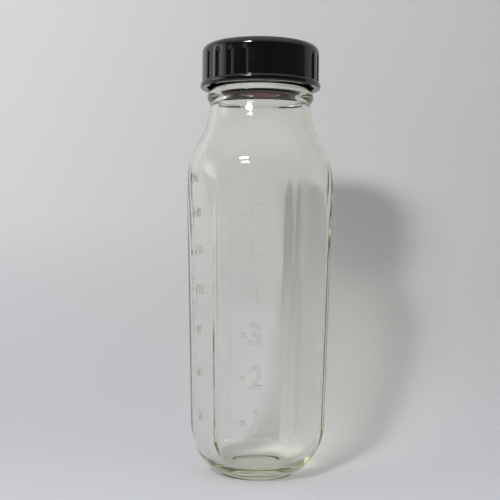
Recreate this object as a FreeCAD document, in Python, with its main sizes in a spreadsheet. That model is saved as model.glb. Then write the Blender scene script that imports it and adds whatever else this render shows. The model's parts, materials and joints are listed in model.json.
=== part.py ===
import FreeCAD, Part
import math
import os

import Sketcher
from FreeCAD import Vector

# Six-panelled glass nursing bottle with a screw ring and a sealing disc.
# Millimetres, +Z up along the bottle's axis, origin on the table under it, a panel facing -Y.

doc = FreeCAD.newDocument("baby_bottle")
sheet = doc.addObject("Spreadsheet::Sheet", "Sizes")

SIZES = {
    # Foot of the glass: a bearing ring round a shallow hollow
    "foot_reach": 14.2,
    "foot_round": 2.5,
    "hollow_reach": 10.5,
    "hollow_floor": 6.5,
    "hollow_depth": 2.0,
    "hollow_round": 5.0,
    # Heel and shoulder of the round envelope that limits the arrises
    "heel_reach": 27.1,
    "heel_level": 8.5,
    "heel_round": 22.5,
    "shoulder_reach": 30.42,
    "shoulder_level": 125.6,
    "shoulder_round": 36.0,
    # Panels: reach of their middle line at the table, at its bend and, carried on, at the neck
    "panel_count": 6,
    "panel_foot": 24.35,
    "panel_bend": 26.75,
    "panel_bend_level": 95.0,
    "panel_bend_round": 300.0,
    "panel_top": 31.2,
    "panel_bow": 100.0,
    # Neck, bead and threaded finish
    "neck_reach": 21.6,
    "neck_level": 142.2,
    "neck_blend": 34.0,
    "neck_draft": 1.3,
    "bead_level": 150.9,
    "throat_round": 1.5,
    "bead_reach": 21.75,
    "bead_height": 6.1,
    "bead_low": 2.2,
    "bead_high": 4.7,
    "bead_round": 2.1,
    "finish_reach": 19.4,
    "rim_level": 170.5,
    "rim_round": 0.9,
    # Thickness of the glass
    "panel_wall": 2.7,
    "arris_wall": 3.3,
    "neck_wall": 3.1,
    "bore_drop": 0.9,
    "bore_blend": 30.0,
    "floor_level": 4.6,
    "floor_round": 13.5,
    "mouth_reach": 16.4,
    # Sealing disc
    "disc_thickness": 2.0,
    "disc_round": 0.5,
    "disc_clearance": 0.35,
    # Screw ring
    "thread_room": 2.4,
    "skirt_wall": 2.2,
    "ring_gap": 0.5,
    "lip_thickness": 2.5,
    "opening_reach": 15.5,
    "opening_round": 1.0,
    "crown_round": 3.0,
    "flange_lip": 0.6,
    "flange_height": 2.0,
    "flange_round": 0.8,
    "flange_slope": 0.3,
    "skirt_lead": 0.5,
    # Grip flutes in the ring's skirt
    "flute_width": 2.4,
    "flute_depth": 0.8,
    "flute_foot_margin": 0.6,
    "flute_head_margin": 0.8,
    "flute_pitch": 15.0,
    "flutes_in_group": 4,
    "flute_groups": 3,
    "ring_turned": 66.3,
    # Height of the cavity's tool over the rim
    "cut_margin": 5.0,
}

for row, (alias, number) in enumerate(SIZES.items(), start=1):
    sheet.set("A%d" % row, alias.replace("_", " "))
    sheet.set("B%d" % row, str(number))
    sheet.setAlias("B%d" % row, alias)
doc.recompute()


def size(text):
    """Turn words of the sheet into an expression on the sheet's cells."""
    words = text.split()
    return "(" + " ".join("Sizes." + word if word in SIZES else word for word in words) + ")"


def value(expression):
    return float(sheet.evalExpression(expression))


def origin_part(body, role):
    return next(part for part in body.Origin.OriginFeatures if part.Role == role)


def new_sketch(body, name, role):
    sketch = body.newObject("Sketcher::SketchObject", name)
    sketch.AttachmentSupport = [(origin_part(body, role), "")]
    sketch.MapMode = "FlatFace"
    return sketch


def bind(sketch, constraint, name, expression):
    index = sketch.addConstraint(constraint)
    sketch.renameConstraint(index, name)
    sketch.setExpression("Constraints." + name, expression)


def fix_point(sketch, geometry, end, name, across, up):
    """Hold one point of a sketch at two expressions, or on an axis where one is zero."""
    if value(across) == 0:
        sketch.addConstraint(Sketcher.Constraint("PointOnObject", geometry, end, -2))
    else:
        distance = Sketcher.Constraint("DistanceX", -1, 1, geometry, end, value(across))
        bind(sketch, distance, name + "_x", across)
    if value(up) == 0:
        sketch.addConstraint(Sketcher.Constraint("PointOnObject", geometry, end, -1))
    else:
        distance = Sketcher.Constraint("DistanceY", -1, 1, geometry, end, value(up))
        bind(sketch, distance, name + "_y", up)


def draw_outline(sketch, corners):
    """Draw a closed outline through named corners, each sharp or rounded by a tangent arc."""
    count = len(corners)
    points = [Vector(value(across), value(up), 0) for _, across, up, _ in corners]
    rounds = [value(radius) if radius else 0 for _, _, _, radius in corners]
    leave, arrive = [], []
    for i in range(count):
        back = (points[i - 1] - points[i]).normalize()
        on = (points[(i + 1) % count] - points[i]).normalize()
        reach = rounds[i] / math.tan(back.getAngle(on) / 2)
        arrive.append(points[i] + back * reach)
        leave.append(points[i] + on * reach)
    lines = []
    for i in range(count):
        line = Part.LineSegment(leave[i], arrive[(i + 1) % count])
        lines.append(sketch.addGeometry(line, False))
    for i, (name, across, up, radius) in enumerate(corners):
        before, after = lines[i - 1], lines[i]
        if not radius:
            sketch.addConstraint(Sketcher.Constraint("Coincident", before, 2, after, 1))
            fix_point(sketch, after, 1, name, across, up)
            continue
        middle = (arrive[i] + leave[i]) * 0.5 - points[i]
        spread = (arrive[i] - points[i]).getAngle(middle)
        centre = points[i] + middle.normalize() * (rounds[i] / math.sin(spread))
        turn = (points[i] - points[i - 1]).cross(points[(i + 1) % count] - points[i]).z
        ends = (arrive[i], leave[i]) if turn > 0 else (leave[i], arrive[i])
        angles = [math.atan2(end.y - centre.y, end.x - centre.x) for end in ends]
        circle = Part.Circle(centre, Vector(0, 0, 1), rounds[i])
        arc = sketch.addGeometry(Part.ArcOfCircle(circle, angles[0], angles[1]), False)
        first, last = (1, 2) if turn > 0 else (2, 1)
        corner = sketch.addGeometry(Part.Point(points[i]), True)
        sketch.addConstraint(Sketcher.Constraint("Tangent", before, 2, arc, first))
        sketch.addConstraint(Sketcher.Constraint("Tangent", arc, last, after, 1))
        sketch.addConstraint(Sketcher.Constraint("PointOnObject", corner, 1, before))
        sketch.addConstraint(Sketcher.Constraint("PointOnObject", corner, 1, after))
        fix_point(sketch, corner, 1, name, across, up)
        bind(sketch, Sketcher.Constraint("Radius", arc, rounds[i]), name + "_round", radius)


def turned_body(name, corners):
    """A body of revolution about Z from an outline in radius and height."""
    body = doc.addObject("PartDesign::Body", name)
    sketch = new_sketch(body, name + "_outline", "XZ_Plane")
    draw_outline(sketch, corners)
    turned = body.newObject("PartDesign::Revolution", name + "_turned")
    turned.Profile = sketch
    turned.ReferenceAxis = (sketch, ["V_Axis"])
    turned.Angle = 360
    doc.recompute()
    return body


def cut_with(body, kind, name, sketch, extent, expression, **settings):
    """Cut a sketch into its body, by a pocket's length or a groove's angle."""
    before = body.Shape.Volume
    cut = body.newObject("PartDesign::" + kind, name)
    cut.Profile = sketch
    for label, setting in settings.items():
        setattr(cut, label, setting)
    cut.setExpression(extent, expression)
    doc.recompute()
    if body.Shape.Volume >= before:
        raise RuntimeError(name + " cuts nothing")
    return cut


def polar_pattern(body, name, feature, angle, occurrences):
    pattern = body.newObject("PartDesign::PolarPattern", name)
    pattern.Originals = [feature]
    pattern.Axis = (origin_part(body, "Z_Axis"), [""])
    pattern.setExpression("Angle", angle)
    pattern.setExpression("Occurrences", occurrences)
    body.Tip = pattern
    doc.recompute()
    return pattern


def panelled_body(name, corners, inset):
    """A turned form with bowed panels cut round it by an inset, which run out on the round shoulder."""
    body = turned_body(name, corners)
    sketch = new_sketch(body, name + "_panel_outline", "YZ_Plane")
    draw_outline(sketch, [
        ("panel_foot", size("panel_foot - " + inset), "0", None),
        ("panel_foot_clear", CUT_REACH, "0", None),
        ("panel_top_clear", CUT_REACH, size("neck_level"), None),
        ("panel_top", size("panel_top - " + inset), size("neck_level"), None),
        ("panel_bend", size("panel_bend - " + inset), size("panel_bend_level"), size("panel_bend_round")),
    ])
    # The bow turns about an upright line on the far side of the bottle's axis
    behind = size("panel_bow - panel_foot")
    foot_of_line = Vector(-value(behind), 0, 0)
    line = sketch.addGeometry(Part.LineSegment(foot_of_line, foot_of_line + Vector(0, 1, 0)), True)
    sketch.addConstraint(Sketcher.Constraint("Vertical", line))
    sketch.addConstraint(Sketcher.Constraint("PointOnObject", line, 1, -1))
    bind(sketch, Sketcher.Constraint("DistanceX", line, 1, -1, 1, value(behind)), "bow_axis", behind)
    cut = cut_with(body, "Groove", name + "_panel", sketch, "Angle", size("360 / panel_count"),
                   ReferenceAxis=(sketch, ["Axis0"]), Midplane=True)
    polar_pattern(body, name + "_panels", cut, "360", size("panel_count"))
    return body


# Levels and radii that more than one piece is built on
BEAD_TOP = size("bead_level + bead_height")
CUT_REACH = size("shoulder_reach + panel_top")
RING_BORE = size("finish_reach + thread_room")
SKIRT_REACH = size("finish_reach + thread_room + skirt_wall")
RING_FOOT = size("bead_level + bead_height + ring_gap")
DISC_TOP = size("rim_level + disc_thickness")
RING_TOP = size("rim_level + disc_thickness + lip_thickness")


def glass_bottle():
    """The outer form less the cavity, both panelled, so that the wall follows the panels."""
    outside = panelled_body("bottle_outside", [
        ("hollow_centre", "0", size("hollow_depth"), None),
        ("hollow_floor", size("hollow_floor"), size("hollow_depth"), size("hollow_round")),
        ("hollow_edge", size("hollow_reach"), "0", None),
        ("foot", size("foot_reach"), "0", size("foot_round")),
        ("heel", size("heel_reach"), size("heel_level"), size("heel_round")),
        ("shoulder", size("shoulder_reach"), size("shoulder_level"), size("shoulder_round")),
        ("neck", size("neck_reach"), size("neck_level"), size("neck_blend")),
        ("throat", size("neck_reach - neck_draft"), size("bead_level"), size("throat_round")),
        ("bead_low", size("bead_reach"), size("bead_level + bead_low"), size("bead_round")),
        ("bead_high", size("bead_reach"), size("bead_level + bead_high"), size("bead_round")),
        ("bead_top", size("finish_reach"), BEAD_TOP, None),
        ("rim", size("finish_reach"), size("rim_level"), size("rim_round")),
        ("rim_centre", "0", size("rim_level"), None),
    ], "0")
    # The cavity's shoulder is the outer one moved in by the wall, so its corners lie a little lower
    inside = panelled_body("bottle_inside", [
        ("floor_centre", "0", size("floor_level"), None),
        ("floor", size("heel_reach - arris_wall"), size("floor_level"), size("floor_round")),
        ("shoulder", size("shoulder_reach - arris_wall"), size("shoulder_level - bore_drop"),
         size("shoulder_round - arris_wall")),
        ("neck", size("neck_reach - neck_wall"), size("neck_level - bore_drop"), size("bore_blend")),
        ("throat", size("neck_reach - neck_draft - neck_wall"), size("bead_level"), size("bore_blend")),
        ("mouth", size("mouth_reach"), size("rim_level"), None),
        ("mouth_clear", size("mouth_reach"), size("rim_level + cut_margin"), None),
        ("mouth_centre", "0", size("rim_level + cut_margin"), None),
    ], "panel_wall")
    glass = doc.addObject("Part::Cut", "glass_bottle")
    glass.Base = outside
    glass.Tool = inside
    return glass


def sealing_disc():
    """A flat disc with softened edges that lies on the rim, a little smaller than the ring's bore."""
    reach = "%s - %s" % (RING_BORE, size("disc_clearance"))
    return turned_body("sealing_disc", [
        ("under", "0", size("rim_level"), None),
        ("lower_edge", reach, size("rim_level"), size("disc_round")),
        ("upper_edge", reach, DISC_TOP, size("disc_round")),
        ("top", "0", DISC_TOP, None),
    ])


def screw_ring():
    """A turned ring with a lip over the disc, a flange at its foot and flutes in groups round its skirt."""
    flange_reach = "%s + %s" % (SKIRT_REACH, size("flange_lip"))
    flange_top = "%s + %s" % (RING_FOOT, size("flange_height"))
    body = turned_body("screw_ring", [
        ("lead_in", "%s + %s" % (RING_BORE, size("skirt_lead")), RING_FOOT, None),
        ("flange_foot", flange_reach, RING_FOOT, size("flange_round")),
        ("flange_top", flange_reach, flange_top, size("flange_round")),
        ("skirt_foot", SKIRT_REACH, "%s + %s" % (flange_top, size("flange_slope")), None),
        ("crown", SKIRT_REACH, RING_TOP, size("crown_round")),
        ("opening_top", size("opening_reach"), RING_TOP, size("opening_round")),
        ("opening_foot", size("opening_reach"), DISC_TOP, None),
        ("seat", RING_BORE, DISC_TOP, None),
        ("bore_foot", RING_BORE, "%s + %s" % (RING_FOOT, size("skirt_lead")), None),
    ])
    flute = new_sketch(body, "flute_outline", "XZ_Plane")
    flute.setExpression("AttachmentOffset.Base.z", SKIRT_REACH)
    half = size("flute_width / 2")
    foot = "%s + %s" % (flange_top, size("flute_foot_margin"))
    head = "%s - %s" % (RING_TOP, size("crown_round + flute_head_margin"))
    draw_flute(flute, half, foot, head)
    cut = cut_with(body, "Pocket", "flute", flute, "Length", size("flute_depth"))
    flutes = body.newObject("PartDesign::MultiTransform", "flutes")
    flutes.Originals = [cut]
    body.Tip = flutes
    group = polar_step(body, "flute_group", size("flute_pitch * ( flutes_in_group - 1 )"),
                       size("flutes_in_group"))
    around = polar_step(body, "flute_groups_round", "360", size("flute_groups"))
    flutes.Transformations = [group, around]
    body.Placement.Rotation = FreeCAD.Rotation(Vector(0, 0, 1), value(size("ring_turned")))
    body.setExpression("Placement.Rotation.Angle", size("ring_turned"))
    return body


def polar_step(body, name, angle, occurrences):
    step = doc.addObject("PartDesign::PolarPattern", name)
    step.Axis = (origin_part(body, "Z_Axis"), [""])
    step.setExpression("Angle", angle)
    step.setExpression("Occurrences", occurrences)
    return step


def draw_flute(sketch, half, foot, head):
    """An upright slot with round ends, on the sketch's vertical axis."""
    low, high, radius = value(foot), value(head), value(half)
    up = Vector(0, 0, 1)
    lower = Part.ArcOfCircle(Part.Circle(Vector(0, low + radius, 0), up, radius), math.pi, 2 * math.pi)
    upper = Part.ArcOfCircle(Part.Circle(Vector(0, high - radius, 0), up, radius), 0, math.pi)
    right = Part.LineSegment(Vector(radius, low + radius, 0), Vector(radius, high - radius, 0))
    left = Part.LineSegment(Vector(-radius, high - radius, 0), Vector(-radius, low + radius, 0))
    chain = [sketch.addGeometry(piece, False) for piece in (lower, right, upper, left)]
    for i, piece in enumerate(chain):
        sketch.addConstraint(Sketcher.Constraint("Tangent", piece, 2, chain[(i + 1) % 4], 1))
    sketch.addConstraint(Sketcher.Constraint("PointOnObject", chain[0], 3, -2))
    sketch.addConstraint(Sketcher.Constraint("Vertical", chain[1]))
    bind(sketch, Sketcher.Constraint("Radius", chain[0], radius), "half_width", half)
    foot_centre = Sketcher.Constraint("DistanceY", -1, 1, chain[0], 3, low + radius)
    bind(sketch, foot_centre, "foot_centre", "%s + %s" % (foot, half))
    head_centre = Sketcher.Constraint("DistanceY", -1, 1, chain[2], 3, high - radius)
    bind(sketch, head_centre, "head_centre", "%s - %s" % (head, half))


pieces = [glass_bottle(), sealing_disc(), screw_ring()]
doc.recompute()

# A failed feature or a broken solid stops the build
for item in doc.Objects:
    if "Invalid" in item.State or "Error" in item.State:
        raise RuntimeError("%s failed: %s" % (item.Label, item.State))
for piece in pieces:
    if piece.Shape.isNull() or not piece.Shape.isValid() or len(piece.Shape.Solids) != 1:
        raise RuntimeError(piece.Label + " is not one sound solid")

os.makedirs("parts", exist_ok=True)
for piece in pieces:
    piece.Shape.exportStep("parts/%s.step" % piece.Label)
    print("%-14s %9.1f mm3" % (piece.Label, piece.Shape.Volume))
below_rim = Part.makeCylinder(value(CUT_REACH), value(size("rim_level")))
cavity = doc.getObject("bottle_inside").Shape.common(below_rim)
print("brimful capacity %.0f ml" % (cavity.Volume / 1000))
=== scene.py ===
import json
import math

import bmesh
import bpy
from bpy.props import FloatProperty, FloatVectorProperty, IntProperty, PointerProperty
from bpy.types import Operator, Panel, PropertyGroup
from mathutils import Euler, Matrix, Vector


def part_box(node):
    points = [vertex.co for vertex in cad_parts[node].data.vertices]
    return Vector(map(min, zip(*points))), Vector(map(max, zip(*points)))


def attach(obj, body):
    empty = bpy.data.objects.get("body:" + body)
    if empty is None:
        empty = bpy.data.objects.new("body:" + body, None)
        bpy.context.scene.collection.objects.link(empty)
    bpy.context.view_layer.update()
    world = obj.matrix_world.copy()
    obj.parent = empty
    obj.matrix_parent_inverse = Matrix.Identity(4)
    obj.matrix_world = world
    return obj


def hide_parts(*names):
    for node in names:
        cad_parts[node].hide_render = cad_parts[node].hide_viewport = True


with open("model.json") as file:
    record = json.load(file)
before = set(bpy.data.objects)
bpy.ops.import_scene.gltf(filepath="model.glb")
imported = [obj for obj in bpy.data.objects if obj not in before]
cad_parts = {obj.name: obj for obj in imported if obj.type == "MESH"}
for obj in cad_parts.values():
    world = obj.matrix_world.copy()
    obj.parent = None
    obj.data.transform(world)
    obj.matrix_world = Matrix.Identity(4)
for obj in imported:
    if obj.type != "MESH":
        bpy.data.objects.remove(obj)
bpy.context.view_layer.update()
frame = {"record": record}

bl_info = {
    "name": "Panelled Nursing Bottle",
    "version": (1, 0, 0),
    "blender": (4, 5, 0),
    "location": "View3D > Sidebar > Bottle",
    "description": "Glass nursing bottle with a fluted screw ring and a sealing disc, built on its frame",
    "category": "Add Mesh",
}

# Measures below are in millimetres until mm() turns them into Blender's metres
MM_PER_METRE = 1000
RIM_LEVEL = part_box("sealing_disc")[0].z * MM_PER_METRE
DISC_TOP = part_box("sealing_disc")[1].z * MM_PER_METRE
DISC_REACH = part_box("sealing_disc")[1].x * MM_PER_METRE
RING_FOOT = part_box("screw_ring")[0].z * MM_PER_METRE
RING_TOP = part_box("screw_ring")[1].z * MM_PER_METRE
FLANGE_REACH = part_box("screw_ring")[1].x * MM_PER_METRE

# Corners of the glass: reach from the axis, level above the table, rounding
FINISH_REACH = 19.4
RIM_MIDDLE = 17.9
BEAD_REACH = 21.75
HOLLOW_DEPTH = 2
FLOOR_LEVEL = 4.4
OUTER_CORNERS = (
    (0, HOLLOW_DEPTH, 0),
    (6.5, HOLLOW_DEPTH, 16),  # roof of the hollow under the base
    (10.5, 0, 0.8),  # bearing ring
    (14.2, 0, 2.5),
    (27.1, 8.5, 22.5),  # heel
    (30.41, 125.6, 36),  # shoulder
    (21.6, 142.2, 34),  # neck
    (20.3, 150.9, 1.5),
    (BEAD_REACH, 153.1, 2.6),  # bead
    (BEAD_REACH, 155.6, 2.6),
    (FINISH_REACH, 157, 0.4),  # finish
    (FINISH_REACH, RIM_LEVEL, 0.9),
    (RIM_MIDDLE, RIM_LEVEL, 0),
)
INNER_CORNERS = (
    (RIM_MIDDLE, RIM_LEVEL, 0),
    (16.4, RIM_LEVEL, 0.7),  # throat
    (17.2, 150.9, 30),
    (18.5, 141.3, 30),  # neck
    (27.3, 124.7, 33),  # shoulder
    (24.2, 10.6, 16),  # heel
    (14.7, FLOOR_LEVEL, 6),  # floor
    (0, FLOOR_LEVEL, 0),
)
# Line up the middle of a bowed panel and of the cavity behind it: both run out into the round shoulder
OUTER_PANEL = ((24.35, 0, 0), (26.75, 95, 300), (31.2, 142.2, 0))
INNER_PANEL = ((21.65, 0, 0), (24.05, 95, 300), (28.5, 142.2, 0))
# Width of the soft edge where a panel runs out
PANEL_BLEND = 1.4
# Rounding of the arrises outside and in the cavity: the panels bow as it asks
OUTER_ARRIS = 3.7
INNER_ARRIS = 4
PANEL_COUNT = 6
HALF_PANEL = math.pi / PANEL_COUNT
# The cavity's waves: clear of the floor and of the rim, and the lengths over which they grow
WAVE_FOOT = 8
WAVE_FOOT_FADE = 10
WAVE_HEAD = 2
WAVE_HEAD_FADE = 20

# The screw thread of the finish and of the ring, with its run-out as a share of its length
THREAD_PITCH = frame["record"]["behaviour"]["couplings"][0]["ratio"] * math.tau * MM_PER_METRE
THREAD_FOOT = 160.7
THREAD_HALF_WIDTH = 0.85
THREAD_RUN_OUT = 0.06
THREAD_TIP = 0.1
THREAD_STEPS = 96
THREAD_SIDES = 16

# Raised scales in millilitres and fluid ounces: left ends from the middle of a panel, lengths of ticks
FLUID_OUNCE = 29.57
CUBIC_MM_PER_ML = 1000
METRIC_TICKS = range(30, 211, 10)
METRIC_NUMBERED = 30
METRIC_LEFT = -9
SHORT_TICK = 3
LONG_TICK = 5
OUNCES = range(1, 7)
OUNCE_LEFT = -4
OUNCE_TICK = 2
NUMBER_GAP = 1
TICK_SIDES = 14
# Rounded share of a raised number's height, and how far its outline is drawn in for it
NUMBER_ROUNDING = 0.6
NUMBER_INSET = 0.38
# Radius on which the marks bend across a panel, a little tighter than the panel's own bow
MARK_BOW = 90

# Corners of the ring, in order from its foot up the outside and down through the opening and the bore
SKIRT_REACH = FLANGE_REACH - 0.6
SKIRT_WALL = 2.2
BORE_REACH = SKIRT_REACH - SKIRT_WALL
BORE_CHAMFER = 0.5
OPENING_REACH = 15.5
RING_CORNERS = (
    (BORE_REACH + BORE_CHAMFER, RING_FOOT, 0.2),
    (FLANGE_REACH, RING_FOOT, 0.6),
    (FLANGE_REACH, RING_FOOT + 2, 0.6),
    (SKIRT_REACH, RING_FOOT + 2.3, 0.4),
    (SKIRT_REACH, RING_TOP, 3),
    (OPENING_REACH, RING_TOP, 1),
    (OPENING_REACH, DISC_TOP, 0.2),
    (BORE_REACH, DISC_TOP, 0.2),
    (BORE_REACH, RING_FOOT + BORE_CHAMFER, 0.2),
    (BORE_REACH + BORE_CHAMFER, RING_FOOT, 0),
)
# Flutes are cut in rows of the outside above the flange, which hides their round lower ends
FLUTED_REACH = BORE_REACH + 1
FLUTED_LEVEL = RING_FOOT + 2.5
FLUTE_FOOT = RING_FOOT + 0.6
FLUTE_HEAD = RING_TOP - 3.8

# Corners of the disc, whose upper face is a little dished inside the ring's opening
DISC_DISH = 0.25
DISC_CORNERS = (
    (0, RIM_LEVEL, 0),
    (DISC_REACH, RIM_LEVEL, 0.5),
    (DISC_REACH, DISC_TOP, 0.5),
    (15.2, DISC_TOP, 1.5),
    (13.6, DISC_TOP - DISC_DISH, 1.5),
    (0, DISC_TOP - DISC_DISH, 0),
)

# Longest straight steps along each profile, and the turn and chord between points of an arc
OUTER_STEP = 5
INNER_STEP = 4
RING_STEP = 0.6
DISC_STEP = 3
SWEEP_STEP = 50
ARC_STEP = math.radians(3)
ARC_CHORD = 0.12
# Points closer than this, in metres, become one
MERGE_REACH = 2e-6
# Nudge that keeps the first column of a panel from being counted to the panel before
COLUMN_NUDGE = 0.01

# The paper, and where its painted shade changes
PAPER_FRONT = 600
PAPER_HEIGHT = 900
PAPER_HALF_WIDTH = 700
PAINTED_SHADE_REACH = 150
PAINTED_SHADE_LEVEL = 110
FLOOR_REACH = 4000
FLOOR_DROP = 0.5

# Lamps that share the key light: width, height, degrees left of the camera and above it.
# A bulb draws the shadow's edge, and the shade round it softens the highlights
KEY_LAMPS = {
    "key_bulb": (80, 60, 23, 28),
    "key_shade": (180, 70, 26, 26.5),
}
LAMP_DISTANCE = 700
LAMP_AIM = 150
# Strength of the room: low down, overhead and in its window for mirror reflections, and through the glass
DIM_ROOM = 0.25
CEILING_GLOW = 1.5
WINDOW_GLOW = 4.0
ROOM_THROUGH_GLASS = 0.75
GLASS_BOUNCES = 32

# Lens and sensor, the photograph's width, and its pixels from the middle to the bottle's axis
LENS = 72.0
SENSOR = 36.0
PHOTO_WIDTH = 500
AXIS_PIXELS = 8.75


def mm(length):
    """A length given in millimetres, in Blender's metres."""
    return length / MM_PER_METRE


def linear(hex_code):
    """Turn an sRGB hex colour into the linear colour that Blender's sockets take."""
    shades = [int(hex_code[i:i + 2], 16) / 255 for i in (1, 3, 5)]
    return (*((s / 12.92 if s <= 0.04045 else ((s + 0.055) / 1.055) ** 2.4) for s in shades), 1.0)


def add_node(tree, kind, inputs=None, **settings):
    """Add a node, set its properties, and fill or link its inputs by name or number."""
    node = tree.nodes.new(kind)
    for name, setting in settings.items():
        setattr(node, name, setting)
    for key, source in (inputs or {}).items():
        if isinstance(source, bpy.types.NodeSocket):
            tree.links.new(source, node.inputs[key])
        else:
            node.inputs[key].default_value = source
    return node


def rounded_path(corners, step):
    """Points along a run of corners, with a tangent arc at each rounded one and no gap over the step."""
    points = [Vector(corner[:2]) for corner in corners]
    path = [points[0]]
    for i in range(1, len(corners)):
        stop, radius = points[i], corners[i][2]
        arc = []
        if radius:
            back = (points[i - 1] - points[i]).normalized()
            on = (points[i + 1] - points[i]).normalized()
            half = back.angle(on) / 2
            stop = points[i] + back * (radius / math.tan(half))
            centre = points[i] + (back + on).normalized() * (radius / math.sin(half))
            spoke, turn = stop - centre, (math.pi - 2 * half) * math.copysign(1, -back.cross(on))
            pieces = max(3, math.ceil(abs(turn) * min(1 / ARC_STEP, radius / ARC_CHORD)))
            arc = [centre + Matrix.Rotation(turn * k / pieces, 2) @ spoke for k in range(1, pieces + 1)]
        start = path[-1]
        pieces = max(1, math.ceil((stop - start).length / step))
        path += [start.lerp(stop, k / pieces) for k in range(1, pieces + 1)] + arc
    return path


def panel_reach(line, level):
    """Distance of a panel's middle from the axis at a level, or None above its end."""
    for low, high in zip(line, line[1:]):
        if low.y <= level <= high.y:
            return low.lerp(high, (level - low.y) / (high.y - low.y)).x
    return None


def section_row(point, line, arris, wave):
    """Measures and area of the six-sided section at one point of the glass profile.

    Each side bows about a point behind the axis, and meets the rounded arrises without a kink.
    """
    reach, level = point
    panel = panel_reach(line, level) or reach + PANEL_BLEND
    near = max(PANEL_BLEND - abs(panel - reach), 0) / PANEL_BLEND if reach > PANEL_BLEND else 0
    middle = min(panel, reach) - near ** 2 * PANEL_BLEND / 4
    corner = min(arris, reach / 2)
    out, flat = reach - corner, middle - corner
    behind = (out ** 2 - flat ** 2) / (flat - math.cos(HALF_PANEL) * out) / 2 if reach else 0
    bow = middle + behind
    centre = Vector((math.sin(HALF_PANEL), math.cos(HALF_PANEL))) * out
    lean = math.atan2(centre.x, centre.y + behind)
    touch = Vector((math.sin(lean) * bow, math.cos(lean) * bow - behind))
    sector = (
        bow ** 2 * lean - behind * touch.x + corner ** 2 * (HALF_PANEL - lean) + abs(centre.cross(touch)))
    row = {
        "bow": mm(bow), "behind": mm(behind), "corner": mm(corner), "centre": mm(out),
        "half": math.atan2(touch.x, touch.y), "level": mm(level), "wave": wave}
    return row, PANEL_COUNT * sector


def row_mesh(name, rows):
    """A mesh with one point for each row of a profile, which carries the row's values."""
    mesh = bpy.data.meshes.new(name)
    mesh.vertices.add(len(rows))
    for label in rows[0]:
        values = mesh.attributes.new(label, "FLOAT", "POINT").data
        values.foreach_set("value", [row[label] for row in rows])
    return mesh


def new_tree(name, sockets):
    """A geometry tree with named inputs. Returns the tree and its input sockets."""
    tree = bpy.data.node_groups.new(name, "GeometryNodeTree")
    tree.is_modifier = True
    tree.interface.new_socket("Geometry", in_out="INPUT", socket_type="NodeSocketGeometry")
    for label, kind in sockets.items():
        tree.interface.new_socket(label, in_out="INPUT", socket_type="NodeSocket" + kind)
    tree.interface.new_socket("Geometry", in_out="OUTPUT", socket_type="NodeSocketGeometry")
    return tree, tree.nodes.new("NodeGroupInput").outputs


def end_tree(tree, geometry, material):
    """Close a tree with realised, smooth geometry in its material."""
    real = add_node(tree, "GeometryNodeRealizeInstances", {"Geometry": geometry})
    smooth = add_node(tree, "GeometryNodeSetShadeSmooth", {"Geometry": real.outputs[0]})
    dressed = add_node(tree, "GeometryNodeSetMaterial", {
        "Geometry": smooth.outputs[0], "Material": material})
    add_node(tree, "NodeGroupOutput", {0: dressed.outputs[0]})


def follow_rule(tree, values, rule):
    """Work through steps of (result, operation, terms): a term is a number or an earlier result."""
    for result, operation, *terms in rule:
        inputs = {i: values.get(term, term) for i, term in enumerate(terms)}
        values[result] = add_node(tree, "ShaderNodeMath", inputs, operation=operation).outputs[0]


def plain_mesh(piece):
    """Evaluate a piece's modifiers, keep the result as its mesh and drop the modifiers."""
    graph = bpy.context.evaluated_depsgraph_get()
    mesh = bpy.data.meshes.new_from_object(piece.evaluated_get(graph), depsgraph=graph)
    piece.modifiers.clear()
    piece.data = mesh
    return mesh


def grow(name, mesh, tree, values):
    """Run a tree with its named inputs on a mesh and keep a plain mesh."""
    piece = bpy.data.objects.new(name, mesh)
    bpy.context.scene.collection.objects.link(piece)
    modifier = piece.modifiers.new(tree.name, "NODES")
    modifier.node_group = tree
    sockets = {item.name: item.identifier for item in tree.interface.items_tree if item.in_out == "INPUT"}
    for label, value in values.items():
        modifier[sockets[label]] = value
    plain_mesh(piece)
    return piece


def fuse(piece, extras):
    """Melt closed extras into a closed piece and remove them."""
    form = bmesh.new()
    for extra in extras:
        form.from_mesh(extra.data)
    form.to_mesh(extras[0].data)
    form.free()
    modifier = piece.modifiers.new("fuse", "BOOLEAN")
    modifier.operation = "UNION"
    modifier.solver = "MANIFOLD"
    modifier.object = extras[0]
    before = len(piece.data.vertices)
    mesh = plain_mesh(piece)
    for extra in extras:
        bpy.data.objects.remove(extra)
    if len(mesh.vertices) <= before:
        raise RuntimeError(piece.name + " did not take its details")


def finish_piece(piece, body, node, crease):
    """Check that a piece is closed, give it its shading, and tie it to the frame."""
    form = bmesh.new()
    form.from_mesh(piece.data)
    loose = [edge for edge in form.edges if not edge.is_manifold]
    turned_out = form.calc_volume(signed=True) > 0
    form.free()
    if loose or not turned_out:
        raise RuntimeError("%s is open or inside out: %d edges" % (piece.name, len(loose)))
    piece.data.shade_smooth()
    piece.data.set_sharp_from_angle(angle=math.radians(crease))
    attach(piece, body)
    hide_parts(node)


# Row and column of each point of a grid
GRID_RULE = (
    ("column", "ADD", "index", 0.5),
    ("column", "DIVIDE", "column", "rows"),
    ("column", "FLOOR", "column"),
    ("passed", "MULTIPLY", "column", "rows"),
    ("row", "SUBTRACT", "index", "passed"),
)
# Angle of each column, with the columns drawn closer at the arrises
PANEL_RULE = (
    ("place", "ADD", "column", COLUMN_NUDGE),
    ("place", "DIVIDE", "place", "per_panel"),
    ("panel", "FLOOR", "place"),
    ("across", "DIVIDE", "column", "per_panel"),
    ("across", "SUBTRACT", "across", "panel"),
    ("across", "MULTIPLY_ADD", "across", 2, -1),
    ("near", "ABSOLUTE", "across"),
    ("near", "SUBTRACT", 2, "near"),
    ("off", "MULTIPLY", "across", "near"),
    ("off", "MULTIPLY", "off", HALF_PANEL),
    ("turn", "MULTIPLY_ADD", "panel", 2 * HALF_PANEL, "off"),
)
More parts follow.
